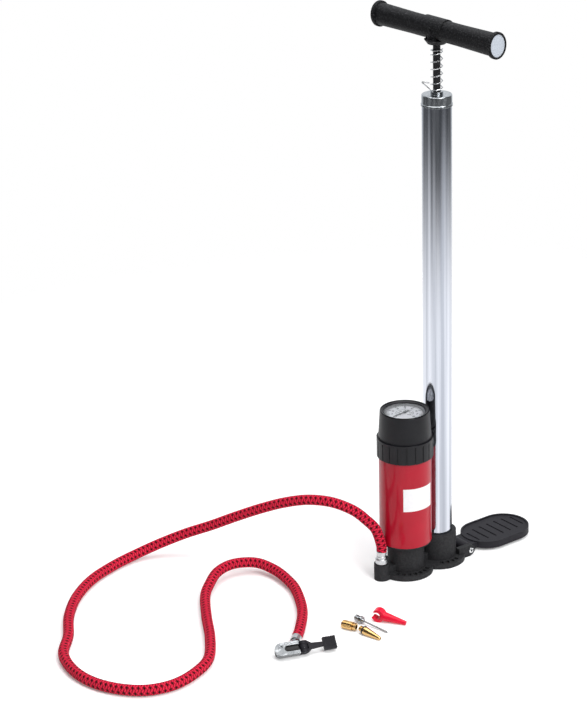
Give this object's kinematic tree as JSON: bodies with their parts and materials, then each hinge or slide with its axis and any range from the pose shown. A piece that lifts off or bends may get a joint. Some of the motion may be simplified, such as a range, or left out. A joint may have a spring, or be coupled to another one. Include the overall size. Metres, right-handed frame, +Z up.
{
  "type": "floor bicycle pump",
  "caption": "Upright hand pump: chromed barrel with T-handle, red air tank with dial gauge, folding foot pedal, braided hose with lever chuck and loose valve adapters.",
  "frame": {"origin": "on the floor, on the axis of the pump barrel", "axes": "+Z up along the barrel; +X along the base from the tank to the foot pedal; the handle lies along Y"},
  "size_m": [0.5951, 0.3274, 0.6219],
  "materials": {
    "black_plastic": "moulded, fine grain",
    "rubber": "matt",
    "chrome_plate": "polished plate",
    "zinc_steel": "bright zinc plate",
    "spring_steel": "drawn wire",
    "nylon": "natural nylon",
    "black_rod": "black coated rod",
    "grey_plastic": "smooth moulded",
    "red_paint": "gloss red enamel",
    "brass": "turned brass",
    "dial_white": "printed card",
    "pointer_black": "painted strip",
    "clear_lens": "clear acrylic",
    "red_braid": "red braid with black flecks over rubber hose",
    "aluminium": "turned",
    "zinc_casting": "bright plated die casting",
    "needle_steel": "nickel plate",
    "dark_steel": "blackened pin",
    "red_plastic": "moulded"
  },
  "bodies": {
    "pump": {"base": "black_plastic", "barrel_gasket": "rubber", "barrel": "chrome_plate", "barrel_cap": "zinc_steel", "rod_bush": "nylon", "buffer_spring": "spring_steel", "tank_tube": "red_paint", "tank_seal_lower": "rubber", "tank_seal_upper": "rubber", "tank_head": "black_plastic", "tie_tube": "zinc_steel", "gauge_collar": "black_plastic", "gauge_housing": "black_plastic", "gauge_movement": "brass", "gauge_dial": "dial_white", "gauge_lens": "clear_lens", "check_valve_cage": "brass", "pedal_pin": "zinc_steel", "hose": "red_braid", "hose_nipple": "aluminium", "hose_ferrule": "aluminium", "chuck_body": "zinc_casting", "chuck_ferrule": "aluminium", "chuck_seal": "rubber", "chuck_pin": "dark_steel"},
    "plunger": {"piston_rod": "black_rod", "piston_head": "nylon", "piston_seal": "rubber", "piston_nut": "zinc_steel", "handle": "black_plastic", "handle_plugs": "grey_plastic", "handle_nut": "zinc_steel"},
    "pedal": {"foot_pedal": "black_plastic"},
    "lever": {"chuck_lever": "black_plastic"},
    "pointer": {"gauge_needle": "pointer_black"},
    "valve_disc": {"check_valve_disc": "rubber"},
    "loose_adapter": {"valve_adapter": "brass"},
    "loose_needle": {"ball_needle": "needle_steel"},
    "loose_taper": {"taper_nozzle": "brass", "taper_seal": "rubber"},
    "loose_nozzle": {"air_nozzle": "red_plastic"}
  },
  "joints": [
    {"name": "handle_slide", "type": "slide", "parent": "pump", "child": "plunger", "axis": [0, 0, 1], "range_m": [-0.005, 0.465]},
    {"name": "pedal_hinge", "type": "hinge", "parent": "pump", "child": "pedal", "pos_m": [0.0315, 0, 0.007], "axis": [0, -1, 0], "range_deg": [0, 90]},
    {"name": "chuck_lever_hinge", "type": "hinge", "parent": "pump", "child": "lever", "pos_m": [-0.25171, -0.08245, 0.00812], "axis": [-0.2542, -0.6983, -0.6691], "range_deg": [0, 85]},
    {"name": "gauge_pointer", "type": "hinge", "parent": "pump", "child": "pointer", "pos_m": [-0.0465, 0, 0.19], "axis": [0, 0, -1], "range_deg": [0, 270], "stiffness_Nm_per_rad": 0.0002},
    {"name": "check_valve_lift", "type": "slide", "parent": "pump", "child": "valve_disc", "axis": [0, 0, 1], "range_m": [0, 0.002]},
    {"name": "valve_adapter_lift", "type": "slide", "parent": "pump", "child": "loose_adapter", "axis": [0, 0, 1], "range_m": [0, 0.15]},
    {"name": "ball_needle_lift", "type": "slide", "parent": "pump", "child": "loose_needle", "axis": [0, 0, 1], "range_m": [0, 0.15]},
    {"name": "taper_nozzle_lift", "type": "slide", "parent": "pump", "child": "loose_taper", "axis": [0, 0, 1], "range_m": [0, 0.15]},
    {"name": "air_nozzle_lift", "type": "slide", "parent": "pump", "child": "loose_nozzle", "axis": [0, 0, 1], "range_m": [0, 0.15]}
  ]
}
